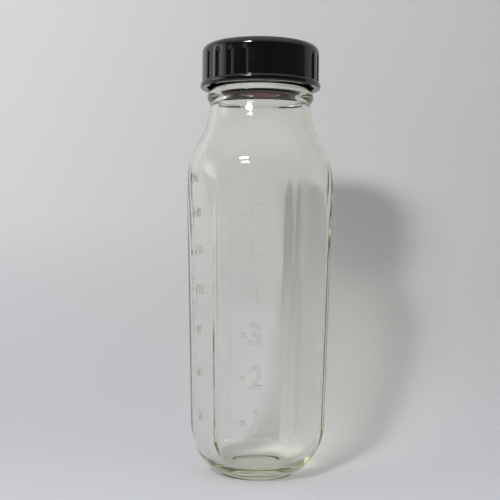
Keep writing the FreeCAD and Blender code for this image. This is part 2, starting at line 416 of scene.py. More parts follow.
# Reach of a six-sided section with bowed sides and rounded corners, at an angle off the middle of a panel
SECTION_RULE = (
    ("off", "ABSOLUTE", "off"),
    ("back", "COSINE", "off"),
    ("back", "MULTIPLY", "back", "behind"),
    ("side", "SINE", "off"),
    ("side", "MULTIPLY", "side", "behind"),
    ("side", "MULTIPLY", "side", "side"),
    ("bowed", "MULTIPLY", "bow", "bow"),
    ("bowed", "SUBTRACT", "bowed", "side"),
    ("bowed", "SQRT", "bowed"),
    ("bowed", "SUBTRACT", "bowed", "back"),
    ("lean", "SUBTRACT", HALF_PANEL, "off"),
    ("along", "COSINE", "lean"),
    ("along", "MULTIPLY", "along", "centre"),
    ("aside", "SINE", "lean"),
    ("aside", "MULTIPLY", "aside", "centre"),
    ("aside", "MULTIPLY", "aside", "aside"),
    ("bend", "MULTIPLY", "corner", "corner"),
    ("bend", "SUBTRACT", "bend", "aside"),
    ("bend", "MAXIMUM", "bend", 0),
    ("bend", "SQRT", "bend"),
    ("bend", "ADD", "bend", "along"),
    ("on_panel", "LESS_THAN", "off", "half"),
    ("gain", "SUBTRACT", "bowed", "bend"),
    ("reach", "MULTIPLY_ADD", "gain", "on_panel", "bend"),
)
# Place at a reach and an angle from the front
TURN_RULE = (
    ("x", "SINE", "turn"),
    ("x", "MULTIPLY", "x", "reach"),
    ("y", "COSINE", "turn"),
    ("y", "MULTIPLY", "y", "reach"),
    ("y", "MULTIPLY", "y", -1),
)
# Slow swells in and out of the cavity's wall
WAVE_RULE = (
    ("swell", "SUBTRACT", "noise", 0.5),
    ("swell", "MULTIPLY_ADD", "swell", "wave", 1),
    ("x", "MULTIPLY", "x", "swell"),
    ("y", "MULTIPLY", "y", "swell"),
)
# Measures that all flutes share: the span of a group, the straight half of a flute and its round section
FLUTE_PLAN_RULE = (
    ("turn", "DIVIDE", "column", "columns"),
    ("turn", "MULTIPLY", "turn", math.tau),
    ("last", "SUBTRACT", "count", 1),
    ("group", "DIVIDE", math.tau, "groups"),
    ("span", "MULTIPLY", "last", "pitch"),
    ("group_start", "SUBTRACT", "span", "group"),
    ("group_start", "MULTIPLY", "group_start", 0.5),
    ("group_end", "ADD", "group_start", "group"),
    ("middle", "ADD", "foot", "head"),
    ("middle", "MULTIPLY", "middle", 0.5),
    ("straight", "SUBTRACT", "head", "middle"),
    ("half_width", "MULTIPLY", "width", 0.5),
    ("straight", "SUBTRACT", "straight", "half_width"),
    ("bend", "MULTIPLY", "half_width", "half_width"),
    ("bend", "DIVIDE", "bend", "depth"),
    ("bend", "ADD", "bend", "depth"),
    ("bend", "MULTIPLY", "bend", 0.5),
    ("bend_squared", "MULTIPLY", "bend", "bend"),
    ("bend_less_depth", "SUBTRACT", "bend", "depth"),
)
# Depth of the nearest upright flute with round ends, in groups round the skirt
FLUTE_RULE = (
    ("part", "SUBTRACT", "turn", "first"),
    ("part", "WRAP", "part", "group_end", "group_start"),
    ("nearest", "DIVIDE", "part", "pitch"),
    ("nearest", "ROUND", "nearest"),
    ("nearest", "MAXIMUM", "nearest", 0),
    ("nearest", "MINIMUM", "nearest", "last"),
    ("nearest", "MULTIPLY", "nearest", "pitch"),
    ("part", "SUBTRACT", "part", "nearest"),
    ("part", "MULTIPLY", "part", "reach"),
    ("rise", "SUBTRACT", "level", "middle"),
    ("rise", "ABSOLUTE", "rise"),
    ("rise", "SUBTRACT", "rise", "straight"),
    ("rise", "MAXIMUM", "rise", 0),
    ("part", "MULTIPLY", "part", "part"),
    ("rise", "MULTIPLY", "rise", "rise"),
    ("away", "ADD", "part", "rise"),
    ("hollow", "SUBTRACT", "bend_squared", "away"),
    ("hollow", "MAXIMUM", "hollow", 0),
    ("hollow", "SQRT", "hollow"),
    ("hollow", "SUBTRACT", "hollow", "bend_less_depth"),
    ("hollow", "MAXIMUM", "hollow", 0),
    ("hollow", "MULTIPLY", "hollow", "fluted"),
    ("reach", "SUBTRACT", "reach", "hollow"),
)


def start_grid(tree, profile, columns, labels):
    """A grid of profile rows by columns, with each row's values read from the profile's points."""
    rows = add_node(tree, "GeometryNodeAttributeDomainSize", {"Geometry": profile}).outputs["Point Count"]
    across = add_node(tree, "ShaderNodeMath", {0: columns, 1: 1.0}, operation="ADD").outputs[0]
    grid = add_node(tree, "GeometryNodeMeshGrid", {"Vertices X": across, "Vertices Y": rows}).outputs["Mesh"]
    values = {"rows": rows, "index": tree.nodes.new("GeometryNodeInputIndex").outputs[0]}
    follow_rule(tree, values, GRID_RULE)
    for label in labels:
        held = add_node(tree, "GeometryNodeInputNamedAttribute", {"Name": label}).outputs["Attribute"]
        inputs = {"Geometry": profile, "Value": held, "Index": values["row"]}
        values[label] = add_node(tree, "GeometryNodeSampleIndex", inputs).outputs["Value"]
    return grid, values


def close_grid(tree, grid, values, material):
    """Move the grid to its places, join the seam and the poles, and end the tree."""
    place = add_node(tree, "ShaderNodeCombineXYZ", {
        "X": values["x"], "Y": values["y"], "Z": values["level"]})
    formed = add_node(tree, "GeometryNodeSetPosition", {"Geometry": grid, "Position": place.outputs[0]})
    closed = add_node(tree, "GeometryNodeMergeByDistance", {
        "Geometry": formed.outputs[0], "Distance": MERGE_REACH})
    end_tree(tree, closed.outputs[0], material)


def panelled_tree():
    """Six-panelled hollow form: a profile whose section turns from six bowed sides into a circle."""
    tree, given = new_tree("panelled_form", {
        "Columns per panel": "Float", "Wave length": "Float", "Material": "Material"})
    columns = add_node(tree, "ShaderNodeMath", {
        0: given["Columns per panel"], 1: PANEL_COUNT}, operation="MULTIPLY")
    labels = ("bow", "behind", "corner", "centre", "half", "level", "wave")
    grid, values = start_grid(tree, given["Geometry"], columns.outputs[0], labels)
    values["per_panel"] = given["Columns per panel"]
    follow_rule(tree, values, PANEL_RULE + SECTION_RULE + TURN_RULE)
    scale = add_node(tree, "ShaderNodeMath", {0: 1.0, 1: given["Wave length"]}, operation="DIVIDE")
    place = add_node(tree, "ShaderNodeCombineXYZ", {
        "X": values["x"], "Y": values["y"], "Z": values["level"]})
    noise = add_node(tree, "ShaderNodeTexNoise", {
        "Vector": place.outputs[0], "Scale": scale.outputs[0], "Detail": 1.0})
    values["noise"] = noise.outputs["Fac"]
    follow_rule(tree, values, WAVE_RULE)
    close_grid(tree, grid, values, given["Material"])
    return tree


def fluted_tree():
    """Turned form with groups of upright flutes where its rows ask for them."""
    tree, given = new_tree("fluted_form", {
        "Columns": "Float", "First flute": "Float", "Flute pitch": "Float", "Flutes in a group": "Float",
        "Groups": "Float", "Flute width": "Float", "Flute depth": "Float", "Flute foot": "Float",
        "Flute head": "Float", "Material": "Material"})
    grid, values = start_grid(tree, given["Geometry"], given["Columns"], ("reach", "level", "fluted"))
    values.update({
        "columns": given["Columns"], "first": given["First flute"], "pitch": given["Flute pitch"],
        "count": given["Flutes in a group"], "groups": given["Groups"], "width": given["Flute width"],
        "depth": given["Flute depth"], "foot": given["Flute foot"], "head": given["Flute head"]})
    follow_rule(tree, values, FLUTE_PLAN_RULE + FLUTE_RULE + TURN_RULE)
    close_grid(tree, grid, values, given["Material"])
    return tree


def thread_tree():
    """A screw ridge with run-out ends that follows a helix."""
    tree, given = new_tree("thread_ridge", {
        "Turns": "Float", "Pitch": "Float", "Reach": "Float", "Foot": "Float", "Proud": "Float",
        "Half width": "Float", "Run-out": "Float", "Material": "Material"})
    rise = add_node(tree, "ShaderNodeMath", {0: given["Turns"], 1: given["Pitch"]}, operation="MULTIPLY")
    helix = add_node(tree, "GeometryNodeCurveSpiral", {
        "Resolution": THREAD_STEPS, "Rotations": given["Turns"], "Start Radius": given["Reach"],
        "End Radius": given["Reach"], "Height": rise.outputs[0]})
    upright = add_node(tree, "GeometryNodeSetCurveNormal", {"Curve": helix.outputs[0]}, mode="Z_UP")
    ring = add_node(tree, "GeometryNodeCurvePrimitiveCircle", {"Resolution": THREAD_SIDES, "Radius": 1.0})
    spread = add_node(tree, "ShaderNodeCombineXYZ", {
        "X": given["Proud"], "Y": given["Half width"], "Z": 1.0})
    profile = add_node(tree, "GeometryNodeTransform", {
        "Geometry": ring.outputs[0], "Scale": spread.outputs[0]})
    along = tree.nodes.new("GeometryNodeSplineParameter").outputs["Factor"]
    values = {"along": along, "run": given["Run-out"]}
    follow_rule(tree, values, (
        ("left", "SUBTRACT", 1, "along"),
        ("near", "MINIMUM", "along", "left"),
        ("fade", "DIVIDE", "near", "run"),
        ("fade", "MINIMUM", "fade", 1),
        ("fade", "MAXIMUM", "fade", THREAD_TIP),
    ))
    ridge = add_node(tree, "GeometryNodeCurveToMesh", {
        "Curve": upright.outputs[0], "Profile Curve": profile.outputs[0], "Scale": values["fade"],
        "Fill Caps": True})
    lift = add_node(tree, "ShaderNodeCombineXYZ", {"Z": given["Foot"]})
    placed = add_node(tree, "GeometryNodeTransform", {
        "Geometry": ridge.outputs[0], "Translation": lift.outputs[0]})
    end_tree(tree, placed.outputs[0], given["Material"])
    return tree


def screw_thread(name, reach, foot, settings, material):
    """A closed ridge round the finish or in the bore, at the pitch by which the ring rises."""
    return grow(name, bpy.data.meshes.new("thread"), thread_tree(), {
        "Turns": settings.thread_turns, "Pitch": mm(THREAD_PITCH), "Reach": mm(reach), "Foot": mm(foot),
        "Proud": settings.thread_proud, "Half width": mm(THREAD_HALF_WIDTH), "Run-out": THREAD_RUN_OUT,
        "Material": material})


def tick_tree():
    """Bars of a scale, one at each point, as long as the point says."""
    tree, given = new_tree("scale_ticks", {"Thickness": "Float", "Material": "Material"})
    bar = add_node(tree, "GeometryNodeMeshCylinder", {
        "Vertices": TICK_SIDES, "Radius": given["Thickness"], "Depth": 1.0})
    flat = add_node(tree, "GeometryNodeTransform", {
        "Geometry": bar.outputs["Mesh"], "Rotation": Euler((0, math.pi / 2, 0))})
    length = add_node(tree, "GeometryNodeInputNamedAttribute", {"Name": "length"}).outputs["Attribute"]
    stretch = add_node(tree, "ShaderNodeCombineXYZ", {"X": length, "Y": 1.0, "Z": 1.0})
    bars = add_node(tree, "GeometryNodeInstanceOnPoints", {
        "Points": given["Geometry"], "Instance": flat.outputs[0], "Scale": stretch.outputs[0]})
    end_tree(tree, bars.outputs[0], given["Material"])
    return tree


def new_material(name):
    """An empty node material. Returns it with its tree and its output node."""
    material = bpy.data.materials.new(name)
    material.use_nodes = True
    material.node_tree.nodes.clear()
    return material, material.node_tree, material.node_tree.nodes.new("ShaderNodeOutputMaterial")


def moulded_glass(settings):
    """Soda-lime glass blown in a mould: clear, faintly green where thick, with a gently uneven skin."""
    material, tree, output = new_material("moulded_soda_lime_glass")
    place = tree.nodes.new("ShaderNodeTexCoord").outputs["Object"]
    # Soft swells a dozen millimetres long that make straight lines behind the glass waver
    swells = add_node(tree, "ShaderNodeTexNoise", {"Vector": place, "Scale": 1 / mm(12), "Detail": 1.5})
    skin = add_node(tree, "ShaderNodeBump", {
        "Height": swells.outputs["Fac"], "Strength": 0.08, "Distance": mm(0.4)})
    # Dull film from handling and washing, in patches about 9 mm wide
    film = add_node(tree, "ShaderNodeTexNoise", {"Vector": place, "Scale": 1 / mm(9), "Detail": 4.0})
    haze = add_node(tree, "ShaderNodeMapRange", {
        "Value": film.outputs["Fac"], "From Min": 0.5, "From Max": 0.8, "To Min": 0.0, "To Max": 0.06})
    glass = add_node(tree, "ShaderNodeBsdfPrincipled", {
        "Base Color": (1.0, 1.0, 1.0, 1.0), "Roughness": haze.outputs["Result"], "IOR": 1.52,
        "Transmission Weight": 1.0, "Normal": skin.outputs["Normal"]})
    # Lamps shine through the walls, so the shadow behind the bottle stays soft and light
    edge = add_node(tree, "ShaderNodeLayerWeight", {"Blend": 0.4})
    dimmed = add_node(tree, "ShaderNodeMix", {
        "Factor": edge.outputs["Facing"], 6: settings.shadow_tint,
        7: settings.edge_shadow}, data_type="RGBA")
    passing = add_node(tree, "ShaderNodeBsdfTransparent", {"Color": dimmed.outputs[2]})
    path = tree.nodes.new("ShaderNodeLightPath")
    surface = add_node(tree, "ShaderNodeMixShader", {
        0: path.outputs["Is Shadow Ray"], 1: glass.outputs[0], 2: passing.outputs[0]})
    depth = add_node(tree, "ShaderNodeVolumeAbsorption", {
        "Color": settings.tint, "Density": settings.tint_density})
    tree.links.new(surface.outputs[0], output.inputs["Surface"])
    tree.links.new(depth.outputs[0], output.inputs["Volume"])
    return material


def moulded_rubber(settings):
    """Moulded gum rubber, aged: dusty pink, satin, slightly mottled, with a fine grain."""
    material, tree, output = new_material("moulded_pink_rubber")
    place = tree.nodes.new("ShaderNodeTexCoord").outputs["Object"]
    # Mottling of aged rubber, in patches about 5 mm wide
    cloud = add_node(tree, "ShaderNodeTexNoise", {"Vector": place, "Scale": 1 / mm(5), "Detail": 3.0})
    shade = add_node(tree, "ShaderNodeMix", {
        "Factor": cloud.outputs["Fac"], 6: settings.shade, 7: settings.colour}, data_type="RGBA")
    # Grain of the mould at half a millimetre, coarser than the real one so that it shows
    grain = add_node(tree, "ShaderNodeTexNoise", {"Vector": place, "Scale": 1 / mm(0.5), "Detail": 2.0})
    bump = add_node(tree, "ShaderNodeBump", {
        "Height": grain.outputs["Fac"], "Strength": 0.25, "Distance": mm(0.05)})
    gloss = add_node(tree, "ShaderNodeMapRange", {
        "Value": cloud.outputs["Fac"], "To Min": 0.5, "To Max": 0.68})
    rubber = add_node(tree, "ShaderNodeBsdfPrincipled", {
        "Base Color": shade.outputs[2], "Roughness": gloss.outputs["Result"], "IOR": 1.52,
        "Normal": bump.outputs["Normal"]})
    tree.links.new(rubber.outputs[0], output.inputs["Surface"])
    return material


def moulded_phenolic(settings):
    """Phenolic resin pressed in a polished mould: deep black gloss, with scuffs and faint flow marks."""
    material, tree, output = new_material("pressed_black_phenolic")
    place = tree.nodes.new("ShaderNodeTexCoord").outputs["Object"]
    # Flow marks of the pressed resin, in patches about 7 mm wide
    flow = add_node(tree, "ShaderNodeTexNoise", {"Vector": place, "Scale": 1 / mm(7), "Detail": 4.0})
    shade = add_node(tree, "ShaderNodeMix", {
        "Factor": flow.outputs["Fac"], 6: settings.colour, 7: settings.worn}, data_type="RGBA")
    # Scuffs run round the ring: noise drawn out sideways, about 0.4 mm high
    squashed = add_node(tree, "ShaderNodeMapping", {"Vector": place, "Scale": (0.12, 0.12, 1.0)})
    scuffs = add_node(tree, "ShaderNodeTexNoise", {
        "Vector": squashed.outputs[0], "Scale": 1 / mm(0.4), "Detail": 3.0})
    worn = add_node(tree, "ShaderNodeMath", {
        0: flow.outputs["Fac"], 1: scuffs.outputs["Fac"]}, operation="MULTIPLY")
    gloss = add_node(tree, "ShaderNodeMapRange", {
        "Value": worn.outputs[0], "From Min": 0.15, "From Max": 0.45, "To Min": 0.08, "To Max": 0.16})
    bump = add_node(tree, "ShaderNodeBump", {
        "Height": scuffs.outputs["Fac"], "Strength": 0.02, "Distance": mm(0.05)})
    resin = add_node(tree, "ShaderNodeBsdfPrincipled", {
        "Base Color": shade.outputs[2], "Roughness": gloss.outputs["Result"], "IOR": 1.6,
        "Normal": bump.outputs["Normal"]})
    tree.links.new(resin.outputs[0], output.inputs["Surface"])
    return material


def matt_paper(settings):
    """Matt seamless paper, open from behind so that the bottle can be seen from every side."""
    material, tree, output = new_material("matt_background_paper")
    place = tree.nodes.new("ShaderNodeTexCoord").outputs["Object"]
    # Painted shade: lighter on the left and greyer on the right, as the lamp's light falls off across the
    # paper
    part = add_node(tree, "ShaderNodeSeparateXYZ", {0: place})
    side = add_node(tree, "ShaderNodeMapRange", {
        "Value": part.outputs["X"], "From Min": mm(-PAINTED_SHADE_REACH), "From Max": mm(PAINTED_SHADE_REACH)})
    shade = add_node(tree, "ShaderNodeMix", {
        "Factor": side.outputs["Result"], 6: settings.paper, 7: settings.paper_shade}, data_type="RGBA")
    # Painted shade: cooler and greyer where it lies on the table, for the dimmer light down there
    rise = add_node(tree, "ShaderNodeMapRange", {"Value": part.outputs["Z"], "From Max": mm(PAINTED_SHADE_LEVEL)})
    lit = add_node(tree, "ShaderNodeMix", {
        "Factor": rise.outputs["Result"], 6: settings.paper_floor, 7: shade.outputs[2]}, data_type="RGBA")
    paper = add_node(tree, "ShaderNodeBsdfDiffuse", {"Color": lit.outputs[2], "Roughness": 0.6})
    clear = tree.nodes.new("ShaderNodeBsdfTransparent")
    back = tree.nodes.new("ShaderNodeNewGeometry").outputs["Backfacing"]
    surface = add_node(tree, "ShaderNodeMixShader", {0: back, 1: paper.outputs[0], 2: clear.outputs[0]})
    tree.links.new(surface.outputs[0], output.inputs["Surface"])
    return material


class GlassSettings(PropertyGroup):
    """Sizes and colours of the glass."""
    columns: IntProperty(
        name="Columns per panel", description="Faces across each panel", default=40, min=8)
    wave_depth: FloatProperty(
        name="Wave depth", description="Unevenness of the inner wall, as a share of its reach",
        default=0.012, subtype="FACTOR")
    wave_length: FloatProperty(
        name="Wave length", description="Distance between swells of the inner wall", default=mm(24),
        subtype="DISTANCE")
    thread_turns: FloatProperty(name="Thread turns", description="Turns of the screw thread", default=1.5)
    thread_proud: FloatProperty(
        name="Thread height", description="How far the thread stands out of the finish", default=mm(1.4),
        subtype="DISTANCE")
    small_proud: FloatProperty(
        name="Small marks' height", description="How far the metric scale stands out of its panel",
        default=mm(0.15), subtype="DISTANCE")
    large_proud: FloatProperty(
        name="Large marks' height", description="How far the ounce numbers stand out of their panel",
        default=mm(1), subtype="DISTANCE")
    small_number: FloatProperty(
        name="Small number", description="Height of the line of the metric numbers", default=mm(5.5),
        subtype="DISTANCE")
    large_number: FloatProperty(
        name="Large number", description="Height of the line of the ounce numbers", default=mm(12),
        subtype="DISTANCE")
    tint: FloatVectorProperty(
        name="Tint", description="Colour that thick glass takes on", subtype="COLOR", size=4,
        default=linear("#ecedd3"))
    tint_density: FloatProperty(
        name="Tint density", description="Absorption for each metre of glass", default=40.0)
    shadow_tint: FloatVectorProperty(
        name="Shadow tint", description="Share of lamp light that each wall lets through", subtype="COLOR",
        size=4, default=linear("#e6e7e3"))
    edge_shadow: FloatVectorProperty(
        name="Edge shadow", description="The same share where the light grazes a wall", subtype="COLOR",
        size=4, default=linear("#a9aba5"))


class DiscSettings(PropertyGroup):
    """Fineness and colours of the sealing disc."""
    columns: IntProperty(name="Columns", description="Faces round the disc", default=128, min=16)
    colour: FloatVectorProperty(
        name="Colour", description="Main colour of the rubber", subtype="COLOR", size=4,
        default=linear("#f2a0aa"))
    shade: FloatVectorProperty(
        name="Shade", description="Colour of the darker patches", subtype="COLOR", size=4,
        default=linear("#e48590"))


class RingSettings(PropertyGroup):
    """Sizes and colours of the screw ring."""
    columns: IntProperty(name="Columns", description="Faces round the ring", default=480, min=90)
    first_flute: FloatProperty(
        name="First flute", description="Angle of the first flute from the front",
        default=math.radians(-53.7), subtype="ANGLE")
    flute_pitch: FloatProperty(
        name="Flute pitch", description="Angle between flutes of a group", default=math.radians(15),
        subtype="ANGLE")
    flutes: IntProperty(name="Flutes in a group", description="Flutes side by side", default=4)
    groups: IntProperty(name="Groups", description="Groups of flutes round the ring", default=3)
    flute_width: FloatProperty(
        name="Flute width", description="Width of a flute at the skirt", default=mm(2.4), subtype="DISTANCE")
    flute_depth: FloatProperty(
        name="Flute depth", description="Depth of a flute", default=mm(0.8), subtype="DISTANCE")
    thread_turns: FloatProperty(
        name="Thread turns", description="Turns of the screw thread in the bore", default=1.4)
    thread_proud: FloatProperty(
        name="Thread height", description="How far the thread stands out of the bore", default=mm(1.4),
        subtype="DISTANCE")
    colour: FloatVectorProperty(
        name="Colour", description="Colour of the resin", subtype="COLOR", size=4, default=linear("#060607"))
    worn: FloatVectorProperty(
        name="Worn colour", description="Colour of rubbed patches", subtype="COLOR", size=4,
        default=linear("#0d0d0e"))


class StageSettings(PropertyGroup):
    """Paper, light and camera."""
    paper: FloatVectorProperty(
        name="Paper", description="Colour of the background paper", subtype="COLOR", size=4,
        default=linear("#f0f0f1"))
    # Painted shade: the paper's right side is painted greyer for the lamp's light falling off
    paper_shade: FloatVectorProperty(
        name="Paper shade", description="Colour of its greyer right side", subtype="COLOR", size=4,
        default=linear("#dcdcda"))
    # Painted shade: the floor part of the paper is painted cooler and greyer
    paper_floor: FloatVectorProperty(
        name="Paper floor", description="Colour of the paper where it lies on the table", subtype="COLOR",
        size=4, default=linear("#d8d9dd"))
    wall_distance: FloatProperty(
        name="Wall distance", description="From the bottle's axis to the paper behind it", default=mm(118),
        subtype="DISTANCE")
    sweep: FloatProperty(
        name="Sweep", description="Radius of the paper's bend from floor to wall", default=mm(70),
        subtype="DISTANCE")
    room: FloatVectorProperty(
        name="Room", description="Colour of the room on the camera's side", subtype="COLOR", size=4,
        default=linear("#868684"))
    room_behind: FloatVectorProperty(
        name="Room behind", description="Colour of the room on the paper's side", subtype="COLOR", size=4,
        default=linear("#b4b4b2"))
    ceiling: FloatVectorProperty(
        name="Ceiling", description="Colour of the ceiling", subtype="COLOR", size=4,
        default=linear("#c4c4c4"))
    key_power: FloatProperty(
        name="Key power", description="Power of the key lamps together, in watts", default=2.55,
        subtype="POWER")
    camera_distance: FloatProperty(
        name="Camera distance", description="From the lens to the bottle's axis", default=mm(411),
        subtype="DISTANCE")
    camera_height: FloatProperty(
        name="Camera height", description="Height of the lens above the table", default=mm(91.5),
        subtype="DISTANCE")
    camera_azimuth: FloatProperty(
        name="Camera azimuth", description="Angle of the lens from the front, to the right",
        default=math.radians(6.3), subtype="ANGLE")
    camera_roll: FloatProperty(
        name="Camera roll", description="Tilt of the frame to one side", default=math.radians(0.59),
        subtype="ANGLE")


def fill_levels(sections, volumes):
    """Levels that poured millilitres reach, from the (level, area) of the cavity's sections."""
    levels = []
    filled = 0.0
    rising = sorted(sections)
    for (low, low_area), (high, high_area) in zip(rising, rising[1:]):
        slice_volume = (high - low) * (low_area + high_area) / 2
        while len(levels) < len(volumes) and filled + slice_volume >= volumes[len(levels)] * CUBIC_MM_PER_ML:
            share = (volumes[len(levels)] * CUBIC_MM_PER_ML - filled) / slice_volume
            levels.append(mm(low + share * (high - low)))
        filled += slice_volume
    return levels


def on_panel(point, panel, line):
    """Carry a point given across, up and out of a panel's face to its place round the bottle."""
    across, up, out = point
    turn = across / mm(MARK_BOW)
    bow = mm(MARK_BOW) + out
    reach = mm(panel_reach(line, up * MM_PER_METRE) - MARK_BOW) + bow * math.cos(turn)
    return Matrix.Rotation(panel * 2 * HALF_PANEL, 3, "Z") @ Vector((bow * math.sin(turn), -reach, up))


def number_mesh(text, size, proud):
    """A plain raised number, closed and ready to melt into the glass, with its left end at the origin."""
    curve = bpy.data.curves.new("number_" + text, "FONT")
    curve.body = text
    curve.size = size
    curve.align_y = "CENTER"
    curve.resolution_u = 4
    curve.extrude = proud * (1 - NUMBER_ROUNDING)
    curve.bevel_depth = proud * NUMBER_ROUNDING
    curve.bevel_resolution = 3
    curve.offset = -proud * NUMBER_INSET
    writing = bpy.data.objects.new(curve.name, curve)
    bpy.context.scene.collection.objects.link(writing)
    graph = bpy.context.evaluated_depsgraph_get()
    mesh = bpy.data.meshes.new_from_object(writing.evaluated_get(graph), depsgraph=graph)
    bpy.data.objects.remove(writing)
    return mesh


def panel_scale(name, panel, line, marks, number_size, proud, material):
    """Ticks and plain numbers on one panel. A mark is (left end, level, length, number or nothing)."""
    rows = [{"length": length} for _, _, length, _ in marks]
    points = row_mesh(name, rows)
    for vertex, (left, level, length, _) in zip(points.vertices, marks):
        vertex.co = (left + length / 2, level, 0)
    ticks = grow(name, points, tick_tree(), {"Thickness": proud, "Material": material})
    form = bmesh.new()
    form.from_mesh(ticks.data)
    for left, level, length, text in marks:
        if text:
            number = number_mesh(text, number_size, proud)
            beside = left + length + mm(NUMBER_GAP)
            number.transform(Matrix.Translation((beside, level, 0)))
            form.from_mesh(number)
    bmesh.ops.remove_doubles(form, verts=form.verts, dist=MERGE_REACH)
    bmesh.ops.recalc_face_normals(form, faces=form.faces)
    for vertex in form.verts:
        vertex.co = on_panel(vertex.co, panel, line)
    form.to_mesh(ticks.data)
    form.free()
    return ticks


def wave_share(level):
    """Share of the full waves at a level of the cavity: none at the floor and at the rim."""
    from_floor = max(0, (level - WAVE_FOOT) / WAVE_FOOT_FADE)
    from_rim = max(0, (RIM_LEVEL - WAVE_HEAD - level) / WAVE_HEAD_FADE)
    return min(1, from_floor, from_rim)


class BOTTLE_OT_glass(Operator):
    """Build the glass: panelled body, round neck, bead, thread and raised scales"""
    bl_idname = "nursing_bottle.glass"
    bl_label = "Glass Bottle"

    def execute(self, context):
        settings = context.scene.bottle_glass
        material = moulded_glass(settings)
        outer_line = rounded_path(OUTER_PANEL, OUTER_STEP)
        inner_line = rounded_path(INNER_PANEL, OUTER_STEP)
        outside = rounded_path(OUTER_CORNERS, OUTER_STEP)
        rows = [section_row(point, outer_line, OUTER_ARRIS, 0)[0] for point in outside]
        sections = []
        for point in rounded_path(INNER_CORNERS, INNER_STEP)[1:]:
            wave = settings.wave_depth * wave_share(point.y)
            row, area = section_row(point, inner_line, INNER_ARRIS, wave)
            rows.append(row)
            sections.append((point.y, area))
        glass = grow("glass", row_mesh("glass", rows), panelled_tree(), {
            "Columns per panel": float(settings.columns), "Wave length": settings.wave_length,
            "Material": material})
        thread = screw_thread("glass_thread", FINISH_REACH, THREAD_FOOT, settings, material)
        left = panel_scale(
            "metric_scale", -1, outer_line, self.metric_marks(sections), settings.small_number,
            settings.small_proud, material)
        front = panel_scale(
            "ounce_scale", 0, outer_line, self.ounce_marks(sections), settings.large_number,
            settings.large_proud, material)
        fuse(glass, [thread, left, front])
        finish_piece(glass, "bottle", "glass_bottle", crease=38)
        return {"FINISHED"}

    def metric_marks(self, sections):
        """Ticks of the metric scale, longer and with a number at every third."""
        marks = []
        for volume, level in zip(METRIC_TICKS, fill_levels(sections, METRIC_TICKS)):
            numbered = volume % METRIC_NUMBERED == 0
            length = LONG_TICK if numbered else SHORT_TICK
            marks.append((mm(METRIC_LEFT), level, mm(length), str(volume) if numbered else ""))
        return marks

    def ounce_marks(self, sections):
        """Short ticks of the ounces, each with its number."""
        levels = fill_levels(sections, [FLUID_OUNCE * ounce for ounce in OUNCES])
        return [(mm(OUNCE_LEFT), level, mm(OUNCE_TICK), str(ounce)) for ounce, level in zip(OUNCES, levels)]


class BOTTLE_OT_disc(Operator):
    """Build the rubber disc that seals the rim"""
    bl_idname = "nursing_bottle.disc"
    bl_label = "Sealing Disc"

    def execute(self, context):
        settings = context.scene.bottle_disc
        outline = rounded_path(DISC_CORNERS, DISC_STEP)
        rows = [{"reach": mm(point.x), "level": mm(point.y), "fluted": 0.0} for point in outline]
        # No row is fluted, so the sizes of flutes only have to be above zero
        disc = grow("disc", row_mesh("disc", rows), fluted_tree(), {
            "Columns": float(settings.columns), "Flute pitch": 1.0, "Flutes in a group": 1.0, "Groups": 1.0,
            "Flute width": mm(1), "Flute depth": mm(1), "Material": moulded_rubber(settings)})
        finish_piece(disc, "disc", "sealing_disc", crease=50)
        return {"FINISHED"}


class BOTTLE_OT_ring(Operator):
    """Build the screw ring with its flange, grip flutes and inner thread"""
    bl_idname = "nursing_bottle.ring"
    bl_label = "Screw Ring"

    def execute(self, context):
        settings = context.scene.bottle_ring
        material = moulded_phenolic(settings)
        rows = []
        for point in rounded_path(RING_CORNERS, RING_STEP):
            fluted = point.x > FLUTED_REACH and point.y > FLUTED_LEVEL
            rows.append({"reach": mm(point.x), "level": mm(point.y), "fluted": float(fluted)})
        ring = grow("ring", row_mesh("ring", rows), fluted_tree(), {
            "Columns": float(settings.columns), "First flute": settings.first_flute,
            "Flute pitch": settings.flute_pitch, "Flutes in a group": float(settings.flutes),
            "Groups": float(settings.groups), "Flute width": settings.flute_width,
            "Flute depth": settings.flute_depth, "Flute foot": mm(FLUTE_FOOT), "Flute head": mm(FLUTE_HEAD),
            "Material": material})
        # Half a pitch above the thread of the finish, so that each ridge runs in the other's groove
        thread = screw_thread("ring_thread", BORE_REACH, THREAD_FOOT + THREAD_PITCH / 2, settings, material)
        fuse(ring, [thread])
        finish_piece(ring, "ring", "screw_ring", crease=40)
        return {"FINISHED"}


